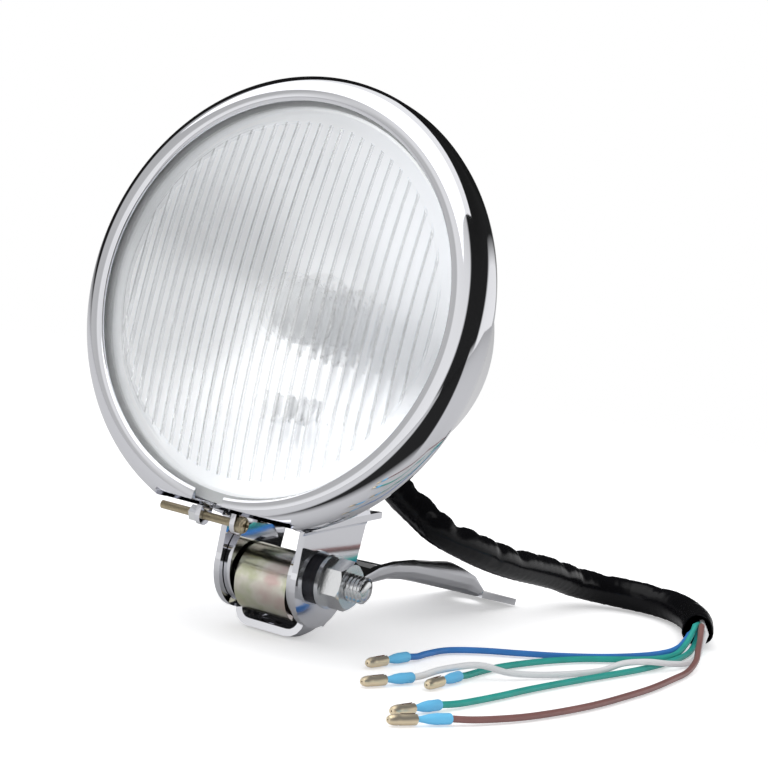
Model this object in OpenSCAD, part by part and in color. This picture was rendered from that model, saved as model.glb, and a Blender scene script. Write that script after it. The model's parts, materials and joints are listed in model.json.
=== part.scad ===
// Round motorcycle headlight with a split clamp ring, a fluted glass, a bottom bracket and a tilting strap.
// Lamp pieces are drawn with the lens facing -Y and the lamp's own up along Z, from the centre of the ring.
// The whole lamp is then leaned back so that it stands on its strap, as it does on a bench.

/* [Clamp ring] */
// Radius of the ring at its widest
ring_r = 82; // [78:0.5:90]
// Radius of the opening that the glass shows through
lip_r = 71.3; // [66:0.1:72]
// Rounding of the ring's crown
crown_r = 8; // [6:0.5:9]
// Thickness of the ring's sheet
ring_t = 1.2; // [0.8:0.1:1.6]
// How far the ring's skirt reaches back from its widest place
skirt_d = 7.5; // [6.5:0.5:9]
// Width of the slit between the ring's two ends
slit_w = 13; // [8:0.5:18]
// How far the slit sits left of the middle
slit_off = 3.6; // [0:0.2:6]
// Depth from the crown to the flat pressed beside the slit
flat_drop = 6; // [5:0.2:6.2]
// Half length of that flat on each side
flat_half = 30; // [24:1:32]
// Width of the ears, front to back
ear_w = 7; // [6.6:0.2:8]
// Thickness of the ears
ear_t = 2; // [1.2:0.2:3]

/* [Clamp screw] */
// Diameter of the clamp screw
screw_d = 3; // [3:0.5:4]
// Length of the clamp screw under its head
screw_l = 34; // [30:1:44]
// Diameter of the screw's head
screw_head_d = 6; // [5.4:0.2:7]
// Height of the screw's head
screw_head_h = 2.4; // [1.8:0.2:3]
// Width across the flats of the clamp nut
clamp_nut_af = 5.5; // [5:0.5:6]
// Height of the clamp nut
clamp_nut_h = 3.2; // [2:0.2:4]

/* [Glass] */
// Radius of the glass at its rim
glass_r = 74; // [73.6:0.1:75]
// Thickness of the glass
glass_t = 3.4; // [2.8:0.2:4.5]
// Rise of the glass at its middle
glass_rise = 6; // [3:0.5:9]
// Radius of the fluted field
flute_field_r = 64.5; // [55:0.5:66]
// Spacing of the flutes
flute_pitch = 4.6; // [4:0.2:8]
// Depth of the flutes
flute_depth = 0.9; // [0.5:0.1:1.2]
// Thickness of the rubber seal behind the glass
seal_t = 1.6; // [1:0.1:2.2]

/* [Reflector] */
// Radius of the reflector's mouth
mirror_r = 69; // [60:0.5:70]
// Focal length of the reflector
focal = 25; // [22:0.5:30]
// Thickness of the reflector's sheet
mirror_t = 0.8; // [0.6:0.1:1.2]
// Radius of the bulb hole in the reflector
bulb_hole_r = 15; // [12:0.5:17]
// Radius of the bulb's glass
bulb_r = 12; // [8:0.5:12.5]
// Radius of the pilot bulb's glass
pilot_r = 4.5; // [3:0.5:5]

/* [Housing] */
// Thickness of the housing's sheet
shell_t = 1; // [0.8:0.1:1.6]
// Radius of the housing behind its rim
shell_r = 78.4; // [77:0.1:78.6]
// How far the rolled rim stands out from the housing
bead_h = 1.6; // [1:0.1:2]
// Half angle of the housing's cone
cone_a = 25; // [23:0.5:27]
// Radius of the housing's round back
nose_r = 52; // [48:1:56]
// Angle of the cable hole below the lens axis
cable_hole_a = 44; // [38:1:50]
// Radius of the cable hole
cable_hole_r = 8.4; // [7.6:0.2:9]

/* [Bracket] */
// Height of the pivot bolt below the middle of the lamp
pivot_z = 91.2; // [90:0.2:96]
// Depth of the pivot bolt behind the ring
pivot_y = 45; // [42:0.5:48]
// Thickness of the bracket's plates
plate_t = 2.5; // [2:0.1:3.5]
// Radius of the plates round the bolt
plate_r = 18; // [16:0.5:20]
// Depth of the bracket's lips below the lamp's middle, at the bolt
lip_z = 70; // [68:0.2:74]
// How far the lips stand out from the plates
lip_w = 6; // [3:0.5:8]
// Slope of the lips from front to back
lip_slope = 14; // [8:0.5:18]
// How far the bracket's plates reach in front of the bolt
plate_front = 22.6; // [20:0.2:24]
// How far the bracket's plates reach behind the bolt
plate_back = 19.6; // [18:0.2:24]
// Running clearance between the strap and the plates
strap_gap = 0.3; // [0.2:0.05:0.6]

/* [Strap] */
// Thickness of the strap's sheet
strap_t = 2.7; // [2:0.1:3.4]
// Inner radius of the bends between the strap's floor and its walls
strap_bend = 4; // [3:0.5:6]
// Width of the strap over its walls
strap_w = 30.4; // [28:0.2:34]
// Radius of the strap's cradle round the bolt
cradle_r = 23.4; // [22.6:0.2:26]
// Radius of the strap's ears round the bolt
strap_ear_r = 15.6; // [13:0.2:17]
// Depth of the arm's underside below the lamp's middle
arm_z = 85; // [82:0.5:88]
// Depth of the arm's end behind the ring
arm_end_y = 204; // [190:1:220]
// Height of the arm's side wall at its hump
hump_h = 11; // [6:0.5:14]
// Diameter of the mounting hole in the arm
mount_hole_d = 10.5; // [8:0.5:13]
// Distance of the mounting hole from the arm's end
mount_hole_in = 15; // [12:0.5:18]

/* [Pivot bolt] */
// Diameter of the pivot bolt
bolt_d = 10; // [8:0.5:10]
// Clearance round the bolt in its holes
bolt_gap = 0.25; // [0.1:0.05:0.5]
// Length of the bolt that stands past the right plate
bolt_out = 19; // [17:0.5:24]
// Width across the flats of the bolt's head and nut
bolt_af = 16; // [15:0.5:18]
// Height of the bolt's head
bolt_head_h = 5; // [4:0.2:8]
// Height of the nut
nut_h = 8; // [6:0.2:9]
// Diameter of the flat washers
washer_d = 20; // [18:0.5:22]
// Thickness of the flat washers
washer_t = 1.6; // [1:0.1:2.4]
// Thickness of the spring washer
spring_washer_t = 2.6; // [2:0.1:3]
// Outer diameter of the spacer tube
tube_d = 25; // [22:0.5:25.6]
// Wall of the spacer tube
tube_wall = 2.4; // [1.8:0.1:3]
// End play of the spacer tube between the strap's ears
tube_play = 2.6; // [0.6:0.2:4]

/* [Cable] */
// Diameter of the soft sleeve
sleeve_d = 13; // [12:0.5:14]
// Diameter of one lead
lead_d = 2.4; // [2.2:0.1:2.6]
// Diameter of the shrink sleeve on a lead's end
shrink_d = 3.6; // [3.2:0.1:4.2]
// Length of the shrink sleeve
shrink_l = 14; // [10:0.5:16]
// Diameter of a bullet connector
bullet_d = 4; // [3.5:0.1:4.5]
// Length of a bullet connector in front of its shrink sleeve
bullet_l = 11; // [9:0.5:14]

/* [Hidden] */
$fn = 96;
// Places of the ring's parts
crown_c = ring_r - crown_r;
skirt_r = ring_r - 0.8;
hook_r = shell_r + 0.3;
rim_y = skirt_d - ring_t - 0.3;
flat_z = ring_r - flat_drop;
ear_in_l = -slit_off - slit_w / 2 + 1;
ear_in_r = -slit_off + slit_w / 2 + 1;
screw_z = flat_z + 0.2 + max(clamp_nut_af, screw_head_d) / 2;
screw_y = 1;
// Places of the glass, its seal and the reflector
glass_y = -crown_r + ring_t + 0.2;
seal_y = glass_y + glass_t + 0.2;
mirror_y = seal_y + seal_t + 0.2;
mirror_depth = (pow(mirror_r, 2) - pow(bulb_hole_r, 2)) / (4 * focal);
vertex_y = mirror_y + mirror_t + pow(mirror_r, 2) / (4 * focal);
bulb_y = vertex_y - focal;
seat_y = mirror_y + mirror_t + 0.2;
dent_z = flat_z - ring_t - 0.3;
// Places of the housing's cone and round back
nose_y = rim_y + (shell_r - nose_r * cos(cone_a)) / tan(cone_a) - nose_r * sin(cone_a);
// Places across the bracket and the strap
plate_in = strap_w / 2 + strap_gap;
plate_out = plate_in + plate_t;
hole_d = bolt_d + 2 * bolt_gap;
weld_gap = 0.25;
flat_end = 2 * mount_hole_in;
// Lean that brings the cradle and the arm's end down to one level
arm_run = arm_end_y - pivot_y;
arm_from = pivot_y + cradle_r * sin(38);
arm_rise = pivot_z - arm_z;
lean = asin(cradle_r / norm([arm_run, arm_rise])) + atan2(arm_rise, arm_run);
stand_z = arm_end_y * sin(lean) + arm_z * cos(lean);
front_y = -crown_c * sin(lean) - crown_r;
back_y = arm_end_y * cos(lean) - (arm_z - strap_t) * sin(lean);
mid_y = (front_y + back_y) / 2;

// Routes of the sleeve and of the leads, from the housing and from the sleeve's open end
sleeve_route = [[0, -3.2, 72], [0, 1.4, 65.5], [0.5, 7, 57.5], [4, 12.5, 50.5], [11, 17.5, 44],
    [18.5, 22, 38.2],
    [23.5, 38, 31.8], [25.5, 56, 26.5], [26, 76, 22], [26, 98, 18], [26, 116, 14.5], [26, 130, 11],
    [30, 144.5, 8.2],
    [40.5, 154.5, 6.8], [54, 157.5, 6.6], [68, 152, 6.6], [83, 135, 6.6], [93, 115, 6.6]];
blue_route = [[90.4, 113.1, 5], [91.5, 108, 3.6], [93, 99, 1.8], [94, 86, 1.3], [92, 68, 1.3], [86, 48, 1.3],
    [77, 29, 1.3], [67, 14, 1.3], [57, 0, 1.3], [51, -14, 1.3], [50.6, -28, 1.3], [51.8, -37, 1.5],
    [51.5, -44, 2]];
green_a_route = [[91.9, 113.9, 8.8], [93.6, 109, 7.6], [96, 98, 3.6], [98, 84, 1.3], [97, 66, 1.3],
    [91, 50, 1.3],
    [84, 34, 1.3], [79, 16, 1.3], [76, -4, 1.3], [75, -20, 1.3], [75.5, -34, 1.3], [76.6, -44, 1.5],
    [77, -50, 2]];
white_route = [[96.3, 116, 6.2], [97.8, 111, 4.6], [101, 102, 2.6], [105.5, 88, 1.3], [107.5, 74, 1.3],
    [107, 60, 2.6], [104.4, 46, 4.1], [101, 32, 4.1], [97.4, 18, 1.6], [91, -6, 1.3], [84.6, -26, 2.4],
    [79, -40, 5.4], [74, -56, 4.4], [71, -66, 2.3], [70, -71, 2]];
green_b_route = [[93.4, 114.6, 4.2], [95, 110, 3.2], [98.4, 98, 1.3], [102, 80, 1.3], [103.4, 60, 1.3],
    [103.4, 40, 1.3], [102, 20, 1.3], [100.6, 0, 1.3], [99.4, -20, 1.3], [98.6, -40, 1.3], [98.4, -60, 1.3],
    [97.6, -84, 1.5], [96, -96, 2]];
brown_route = [[94.3, 115.1, 9.2], [96.4, 110, 8.6], [101, 100, 6.6], [106, 88, 5], [111, 76, 3],
    [115, 60, 1.3],
    [118, 40, 1.3], [120.8, 16, 1.3], [122, -8, 1.3], [122.4, -32, 1.3], [121, -56, 1.3], [118, -78, 1.3],
    [112.6, -98, 1.5], [108, -109, 2]];

// Points of an arc in a plane
function arc(cx, cy, r, a0, a1, n = 8) =
    [for (i = [0:n]) let (a = a0 + (a1 - a0) * i / n) [cx + r * cos(a), cy + r * sin(a)]];
// Smooth value between stations, given as pairs of place and value
function blend(t) = t * t * (3 - 2 * t);
function along(s, list, i = 0) =
    s <= list[0][0] ? list[0][1]
    : i >= len(list) - 1 ? list[len(list) - 1][1]
    : s > list[i + 1][0] ? along(s, list, i + 1)
    : list[i][1] + (list[i + 1][1] - list[i][1]) * blend((s - list[i][0]) / (list[i + 1][0] - list[i][0]));

// Leans the lamp back and stands it on the bench
module stand() {
    translate([0, -mid_y, stand_z]) rotate([-lean, 0, 0]) children();
}

// Turns a profile of radius against depth about the lens axis
module lathe() {
    rotate([-90, 0, 0]) rotate_extrude() children();
}

// Gives a side view of depth against height a width along X
module side(x0, x1) {
    translate([x0, 0, 0]) rotate([90, 0, 90]) linear_extrude(x1 - x0) children();
}

// Rod along X
module rod_x(x0, x1, r, sides = $fn) {
    translate([x0, 0, 0]) rotate([0, 90, 0]) cylinder(h = x1 - x0, r = r, $fn = sides);
}

// Skin through rings of points, closed at both ends by strips between the ring's two halves
module skin(rings) {
    n = len(rings[0]);
    last = len(rings) - 1;
    points = [for (ring = rings) each ring];
    sides = [for (i = [0:last - 1], j = [0:n - 1])
        each [[i * n + j, i * n + (j + 1) % n, (i + 1) * n + (j + 1) % n],
              [i * n + j, (i + 1) * n + (j + 1) % n, (i + 1) * n + j]]];
    near = [for (i = [0:n / 2 - 2]) each [[i, n - 1 - i, i + 1], [i + 1, n - 1 - i, n - 2 - i]]];
    far = [for (face = near) [for (v = [2:-1:0]) last * n + face[v]]];
    polyhedron(points, concat(sides, near, far));
}

// Chromed ring that clamps the glass to the housing, split at the bottom
module ring_profile() {
    t = ring_t;
    outer = concat([[lip_r, -crown_r]], arc(crown_c, 0, crown_r, -90, 0, 10), [[ring_r - 0.1, 0.6 * skirt_d],
        [skirt_r, skirt_d]]);
    inner = concat([[skirt_r - t, skirt_d - t], [ring_r - 0.1 - t, 0.6 * skirt_d]],
        arc(crown_c, 0, crown_r - t, 0, -90, 10), [[lip_r, -crown_r + t]]);
    polygon(concat(outer, [[hook_r, skirt_d], [hook_r, skirt_d - t]], inner));
}

module ring_ear(x0) {
    side(x0, x0 + ear_t) difference() {
        union() {
            translate([screw_y, -screw_z]) circle(r = ear_w / 2);
            translate([screw_y - ear_w / 2, -screw_z]) square([ear_w, screw_z - flat_z + ring_t / 2]);
        }
        translate([screw_y, -screw_z]) circle(d = screw_d + 0.5);
    }
}

module clamp_ring() {
    color("gainsboro") stand() {
        difference() {
            lathe() ring_profile();
            translate([-flat_half, -20, -ring_r - 1]) cube([2 * flat_half, 40, ring_r + 1 - flat_z]);
            translate([-slit_off - slit_w / 2, -20, -ring_r - 1]) cube([slit_w, 40, 30]);
        }
        for (x = [[-flat_half, ear_in_l], [-slit_off + slit_w / 2 - 1, flat_half]])
            translate([x[0], 0.6 - crown_r, -flat_z]) cube([x[1] - x[0], crown_r - 0.6 + skirt_d, ring_t]);
        ring_ear(ear_in_l - ear_t);
        ring_ear(ear_in_r);
    }
}

// Pan head screw that draws the ring's ears together
module clamp_screw() {
    head_x = ear_in_r + ear_t + 0.1;
    color("darkkhaki") stand() translate([0, screw_y, -screw_z]) difference() {
        union() {
            rod_x(head_x - screw_l, head_x + 0.1, screw_d / 2, 48);
            translate([head_x, 0, 0]) rotate([0, 90, 0]) rotate_extrude($fn = 48)
                polygon(concat([[0, 0], [screw_head_d / 2, 0], [screw_head_d / 2, screw_head_h * 0.5]],
                    arc(screw_head_d / 2 - 1.4, screw_head_h * 0.5, 1.4, 0, 90, 4), [[0, screw_head_h]]));
        }
        for (a = [0, 90]) rotate([a, 0, 0])
            translate([head_x + screw_head_h * 0.4, -0.5, -2]) cube([screw_head_h, 1, 4]);
    }
}

// Square shouldered nut on the far side of the left ear
module clamp_nut() {
    color("silver") stand() translate([0, screw_y, -screw_z]) difference() {
        rotate([30, 0, 0])
            rod_x(ear_in_l - ear_t - 0.1 - clamp_nut_h, ear_in_l - ear_t - 0.1, clamp_nut_af / sqrt(3), 6);
        rod_x(ear_in_l - ear_t - 9, ear_in_l, screw_d / 2 + 0.1, 48);
    }
}

// Pressed glass, smooth outside and fluted inside
function dome_r() = (pow(flute_field_r, 2) + pow(glass_rise, 2)) / (2 * glass_rise);
flute_a = asin(flute_field_r / dome_r()) + 2;
function dome_y(r) = glass_y - glass_rise + dome_r() - sqrt(pow(dome_r(), 2) - pow(r, 2));

module lens() {
    n = floor(flute_field_r / flute_pitch);
    far = dome_r() - glass_t;
    ridge = [for (i = [-n * 4:n * 4]) let (x = i * flute_pitch / 4, u = i / 4 - floor(i / 4))
        [sqrt(pow(far, 2) - pow(x, 2)) - 0.2 - flute_depth * sqrt(max(0, 1 - pow(2 * u - 1, 2))), x]];
    back = [for (i = [n:-1:-n]) let (x = i * flute_pitch) [sqrt(pow(far + 1.2, 2) - pow(x, 2)), x]];
    color("aliceblue", 0.5) stand() union() {
        lathe() polygon(concat([for (i = [0:12]) let (r = flute_field_r * i / 12) [r, dome_y(r)]],
            [[lip_r - 1, glass_y + 0.2], [glass_r - 0.6, glass_y + 0.2], [glass_r, glass_y + 0.8],
             [glass_r, glass_y + glass_t]],
            [for (i = [13:-1:0]) let (r = (flute_field_r + 2) * i / 13)
                [r, dome_y(min(r, flute_field_r)) + glass_t]]));
        intersection() {
            translate([0, glass_y - glass_rise + dome_r(), 0]) rotate([-90, 0, 0]) rotate([0, 90, 0])
                rotate([0, 0, -flute_a]) rotate_extrude(angle = 2 * flute_a, $fn = 360)
                    polygon(concat(ridge, back));
            rotate([90, 0, 0]) cylinder(h = 60, r = flute_field_r - 0.2, center = true);
        }
    }
}

// Rubber seal between the glass and the reflector
module lens_seal() {
    color("dimgray") stand() lathe()
        translate([mirror_r + 1.2, seal_y]) square([glass_r - mirror_r - 1.2, seal_t]);
}

// Pressed steel reflector with a neck for the bulb
module reflector() {
    function mirror_line(r, off) = [r, vertex_y - pow(r, 2) / (4 * focal) + off];
    n = 16;
    step = (mirror_r - bulb_hole_r) / n;
    color("lightsteelblue") stand() difference() {
        lathe() polygon(concat([[glass_r, mirror_y], [mirror_r, mirror_y]],
            [for (i = [n:-1:0]) mirror_line(bulb_hole_r + i * step, -mirror_t)],
            [[bulb_hole_r, vertex_y + 5], [bulb_hole_r + mirror_t, vertex_y + 5]],
            [for (i = [0:n - 1]) mirror_line(bulb_hole_r + mirror_t + i * step, mirror_t * 0.3)],
            [[mirror_r + 0.6, mirror_y + mirror_t], [glass_r, mirror_y + mirror_t]]));
        pilot_place() translate([0, 0, -20]) cylinder(h = 40, r = pilot_r + 1);
    }
}

// Place and direction of the pilot bulb, below the main bulb
module pilot_place() {
    r = 34;
    translate([0, vertex_y - pow(r, 2) / (4 * focal), -r]) rotate([-90, 0, 0]) children();
}

// Main bulb with its metal collar
module bulb() {
    color("ghostwhite") stand() lathe() polygon(concat([[0, bulb_y - bulb_r - 6]],
        arc(0, bulb_y - 6, bulb_r, -70, 40, 8), [[7.5, vertex_y + 1], [13, vertex_y + 1], [13, vertex_y + 3],
        [7.5, vertex_y + 3], [7.5, vertex_y + 12], [0, vertex_y + 12]]));
}

// Socket that holds the main bulb in the reflector's neck
module bulb_holder() {
    y0 = vertex_y + 3.2;
    color("darkslategray") stand() difference() {
        lathe() polygon([[0, y0 + 9.2], [7.8, y0 + 9.2], [7.8, y0], [bulb_hole_r - 0.3, y0],
            [bulb_hole_r - 0.3, y0 + 2.4], [bulb_hole_r + 3, y0 + 2.4], [bulb_hole_r + 3, y0 + 5], [11, y0 + 7],
            [11, y0 + 14], [0, y0 + 14]]);
    }
}

// Small pilot bulb below the main one
module pilot_bulb() {
    color("ghostwhite") stand() pilot_place() rotate_extrude($fn = 48) polygon(concat([[0, -9 - pilot_r]],
        arc(0, -9, pilot_r, -80, 30, 6), [[3, -2], [3, 7], [0, 7]]));
}

// Rubber cup that carries the pilot bulb
module pilot_holder() {
    color("black") stand() pilot_place() rotate_extrude($fn = 48)
        polygon([[0, 7.2], [3.2, 7.2], [3.2, 2], [pilot_r + 0.8, 2], [pilot_r + 0.8, 4], [pilot_r + 2.4, 4.4],
            [pilot_r + 1, 10], [0, 10]]);
}

// Chromed steel housing with a rolled rim
module shell_core(off) {
    lathe() polygon(concat([[0, seat_y + off], [shell_r - off, seat_y + off], [shell_r - off, rim_y]],
        arc(0, nose_y, nose_r - off, cone_a, 90, 14)));
}

module shell_solid(off) {
    difference() {
        union() {
            shell_core(off);
            lathe() translate([shell_r - off - 1, seat_y + off]) square([bead_h + 1, rim_y - seat_y - off * 2]);
        }
        translate([-ring_r, -20, -ring_r - 20]) cube([2 * ring_r, 28 + off, ring_r + 20 - dent_z + off]);
    }
}

// Place on the housing's round back where the cable leaves, with Z outwards
module cable_place() {
    translate([0, nose_y, 0]) rotate([-90 - cable_hole_a, 0, 0]) translate([0, 0, nose_r]) children();
}

module housing() {
    color("silver") stand() difference() {
        shell_solid(0);
        shell_solid(shell_t);
        rotate([90, 0, 0]) cylinder(h = 20, r = mirror_r + 2.5, center = true);
        cable_place() translate([0, 0, -6]) cylinder(h = 12, r = cable_hole_r);
    }
}

// Rubber grommet in the cable hole
module cable_grommet() {
    color("black") stand() cable_place() rotate_extrude($fn = 64)
        polygon([[cable_hole_r - 1.4, -4.4], [cable_hole_r + 1.6, -4.4], [cable_hole_r + 1.6, -shell_t - 1.3],
            [cable_hole_r - 0.3, -shell_t - 1.3], [cable_hole_r - 0.3, -0.4], [cable_hole_r + 1.6, -0.4],
            [cable_hole_r + 1.2, 2.6], [cable_hole_r - 1.4, 4]]);
}

// Bracket under the housing: two plates with lips that lean out, and a saddle between them
module plate_outline() {
    difference() {
        polygon(concat([[pivot_y - plate_front, -nose_r], [pivot_y + plate_back, -nose_r * 0.7],
            [pivot_y + plate_back, -pivot_z + 7]], arc(pivot_y, -pivot_z, plate_r, 0, -180, 24)));
        translate([pivot_y, -pivot_z]) circle(d = hole_d);
    }
}

// Lip along a plate, bent outwards below the housing
module plate_lip() {
    bend = 2.5;
    translate([0, pivot_y, -lip_z]) rotate([lip_slope, 0, 0]) rotate([90, 0, 0])
        translate([plate_out, 0, -plate_back - 0.5]) linear_extrude(plate_front + plate_back)
            polygon(concat([[-0.6, -bend]], arc(bend, -bend, bend, 180, 100, 6),
                [[lip_w, 0.7], [lip_w, 0.7 + plate_t], [-0.6, plate_t]]));
}

module head_bracket() {
    color("gainsboro") stand() difference() {
        union() {
            for (s = [0, 1]) mirror([s, 0, 0]) {
                side(plate_in, plate_out) plate_outline();
                plate_lip();
            }
            intersection() {
                shell_core(-weld_gap - plate_t);
                translate([-plate_out - 1, pivot_y - plate_front + 1, -ring_r])
                    cube([2 * plate_out + 2, plate_front + plate_back - 2, ring_r]);
            }
        }
        shell_core(-weld_gap);
    }
}

// Strap whose cradle hangs on the pivot bolt and whose arm runs back to its mounting hole
module strap_ear(x0) {
    side(x0, x0 + strap_t) difference() {
        union() {
            translate([pivot_y, -pivot_z]) circle(r = strap_ear_r);
            polygon([[pivot_y, -pivot_z - cradle_r + 10], [pivot_y + 13, -pivot_z - 17],
                [pivot_y + 26, -arm_z - 9],
                [pivot_y + 27, -arm_z - 2], [pivot_y + 15, -pivot_z + 5], [pivot_y, -pivot_z]]);
        }
        translate([pivot_y, -pivot_z]) circle(d = hole_d);
    }
}

// Underside of the strap: turn of the path, its place and the height of the left and right walls
function strap_path() = concat(
    [for (a = [-2:8:38]) [a, pivot_y + cradle_r * sin(a), -pivot_z - cradle_r * cos(a)]],
    [[40, arm_y(70), -101.2], [33, arm_y(79), -94.6], [20, arm_y(90), -89.6], [10, arm_y(102), -86.6],
     [2, arm_y(116), -85.2], [0, arm_y(130), -arm_z], [0, arm_y(142), -arm_z], [0, arm_y(152), -arm_z],
     [0, arm_y(164), -arm_z], [0, arm_end_y - flat_end, -arm_z]]);

// Place along an arm of this length of a place on an arm that ends at 204, and the way back
function arm_y(y) = arm_from + (y - arm_from) * (arm_end_y - arm_from) / (204 - arm_from);
function drawn_y(y) = y < arm_from ? y : arm_from + (y - arm_from) * (204 - arm_from) / (arm_end_y - arm_from);

function wall_l(y) = along(drawn_y(y), [[44, 8], [60, 10], [84, 5], [104, 0.4], [300, 0.4]]);
function wall_r(y) = along(drawn_y(y), [[44, 8], [60, 10], [80, 4.6], [100, 5], [120, hump_h - 4.9],
    [142, hump_h - strap_t], [160, hump_h - 4.7], [174, 0.4], [300, 0.4]]);

module mount_strap() {
    color("gainsboro") stand() {
        strap_ear(-strap_w / 2);
        strap_ear(strap_w / 2 - strap_t);
        strap_sweep();
        translate([0, arm_end_y, -arm_z]) linear_extrude(strap_t) difference() {
            translate([-strap_w / 2, -flat_end - 0.4]) square([strap_w, flat_end + 0.4]);
            translate([0, -mount_hole_in]) circle(d = mount_hole_d);
        }
    }
}

// Sweep of the strap's section along its path
module strap_sweep() {
    skin([for (p = strap_path()) section(p)]);
}

function bend_arc(x, y, r, a0, a1) = arc(x, y, r, a0, a1, 4);
function section(p) = let (w = strap_w / 2, t = strap_t, a = p[0], l = t + wall_l(p[1]), q = t + wall_r(p[1]),
        bl = min(strap_bend, wall_l(p[1]) * 0.8), bq = min(strap_bend, wall_r(p[1]) * 0.8),
        outline = concat([[-w, l]], bend_arc(-w + bl + t, bl + t, bl + t, 180, 270),
            bend_arc(w - bq - t, bq + t, bq + t, 270, 360), [[w, q], [w - t, q]],
            bend_arc(w - bq - t, bq + t, bq, 360, 270), bend_arc(-w + bl + t, bl + t, bl, 270, 180),
            [[-w + t, l]]))
    [for (v = outline) [v[0], p[1] - v[1] * sin(a), p[2] + v[1] * cos(a)]];

// Loose spacer tube that hangs on the bolt between the strap's ears
module spacer_tube() {
    inner = tube_d / 2 - tube_wall;
    len = strap_w - 2 * strap_t - tube_play;
    color("tan") stand() translate([0, pivot_y, -pivot_z - (inner - bolt_d / 2) + 0.05]) difference() {
        rod_x(-len / 2, len / 2, tube_d / 2);
        rod_x(-len, len, inner);
    }
}

module at_pivot() {
    stand() translate([0, pivot_y, -pivot_z]) children();
}

// Bolt through the plates and the strap, with its head on the left
module pivot_bolt() {
    color("silver") at_pivot() {
        rod_x(-plate_out - washer_t - 0.1, plate_out + bolt_out - 1.2, bolt_d / 2);
        translate([plate_out + bolt_out - 1.2, 0, 0]) rotate([0, 90, 0])
            cylinder(h = 1.2, r1 = bolt_d / 2, r2 = bolt_d / 2 - 1);
        hex_x(-plate_out - washer_t - bolt_head_h, -plate_out - washer_t, bolt_af);
    }
}

// Hexagon along X with chamfered corners
module hex_x(x0, x1, af) {
    c = af / sqrt(3);
    intersection() {
        rod_x(x0, x1, c, 6);
        translate([x0, 0, 0]) rotate([0, 90, 0]) rotate_extrude($fn = 72)
            polygon([[0, 0], [af / 2 + 0.2, 0], [c + 0.1, 1], [c + 0.1, x1 - x0 - 1], [af / 2 + 0.2, x1 - x0],
                [0, x1 - x0]]);
    }
}

// Flat washers under the bolt's head and under its nut
module flat_washers() {
    color("whitesmoke") at_pivot() for (x = [-plate_out - washer_t, plate_out + spring_washer_t]) difference() {
        rod_x(x, x + washer_t, washer_d / 2);
        rod_x(x - 1, x + washer_t + 1, hole_d / 2);
    }
}

// Split spring washer against the right plate
module spring_washer() {
    color("dimgray") at_pivot() difference() {
        rod_x(plate_out, plate_out + spring_washer_t, 9.2);
        rod_x(plate_out - 1, plate_out + spring_washer_t + 1, hole_d / 2);
        translate([plate_out - 1, -0.6, 0]) cube([spring_washer_t + 2, 1.2, 12]);
    }
}

// Nut on the right end of the bolt
module pivot_nut() {
    x = plate_out + spring_washer_t + washer_t;
    color("whitesmoke") at_pivot() difference() {
        hex_x(x, x + nut_h, bolt_af);
        rod_x(x - 1, x + nut_h + 1, bolt_d / 2 + 0.1);
    }
}

// Tube through a route's own points
module cord(route, r, sides) {
    last = len(route) - 1;
    skin([for (k = [0:last]) let (
        way = route[min(k + 1, last)] - route[max(k - 1, 0)],
        t = way / norm(way),
        across = cross(t, [0, 0, 1]) / norm(cross(t, [0, 0, 1])),
        up = cross(across, t))
        [for (i = [0:sides - 1]) let (a = (i + 0.5) * 360 / sides)
            route[k] + r * cos(a) * across + r * sin(a) * up]]);
}

// Place at the end of a lead, with Z along it
module lead_end(route) {
    last = len(route) - 1;
    way = route[last] - route[last - 1];
    translate(route[last]) rotate([90, 0, atan2(way[1], way[0]) + 90]) children();
}

// Soft black sleeve round the leads
module cable_sleeve() {
    color("dimgray") cord(sleeve_route, sleeve_d / 2, 12);
}

module lead_blue() {
    color("steelblue") cord(blue_route, lead_d / 2, 8);
}

module lead_green_a() {
    color("seagreen") cord(green_a_route, lead_d / 2, 8);
}

module lead_white() {
    color("white") cord(white_route, lead_d / 2, 8);
}

module lead_green_b() {
    color("seagreen") cord(green_b_route, lead_d / 2, 8);
}

module lead_brown() {
    color("saddlebrown") cord(brown_route, lead_d / 2, 8);
}

// Shrink sleeve over the end of a lead and the tail of its bullet
module shrink(route) {
    color("skyblue") lead_end(route) rotate_extrude($fn = 32)
        polygon([[lead_d / 2 + 0.1, 0], [shrink_d / 2 - 0.2, 0], [shrink_d / 2, 0.6], [shrink_d / 2, shrink_l],
            [lead_d / 2 + 0.1, shrink_l]]);
}

// Bullet connector with a tail crimped on the lead, a collar and a round nose
module bullet(route) {
    r = bullet_d / 2;
    z = shrink_l + 0.1;
    color("darkkhaki") lead_end(route) rotate_extrude($fn = 32)
        polygon(concat([[0, 0.1], [lead_d / 2, 0.1], [lead_d / 2, z], [r - 0.3, z],
            [r - 0.3, z + bullet_l * 0.3],
            [r, z + bullet_l * 0.3 + 0.3], [r, z + bullet_l * 0.5], [r - 0.7, z + bullet_l * 0.5 + 0.5],
            [r - 0.7, z + bullet_l * 0.5 + 1.1], [r, z + bullet_l * 0.5 + 1.6]],
            arc(0, z + bullet_l - r, r, 0, 90, 6)));
}

module shrink_blue() {
    shrink(blue_route);
}

module shrink_green_a() {
    shrink(green_a_route);
}

module shrink_white() {
    shrink(white_route);
}

module shrink_green_b() {
    shrink(green_b_route);
}

module shrink_brown() {
    shrink(brown_route);
}

module bullet_blue() {
    bullet(blue_route);
}

module bullet_green_a() {
    bullet(green_a_route);
}

module bullet_white() {
    bullet(white_route);
}

module bullet_green_b() {
    bullet(green_b_route);
}

module bullet_brown() {
    bullet(brown_route);
}

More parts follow.
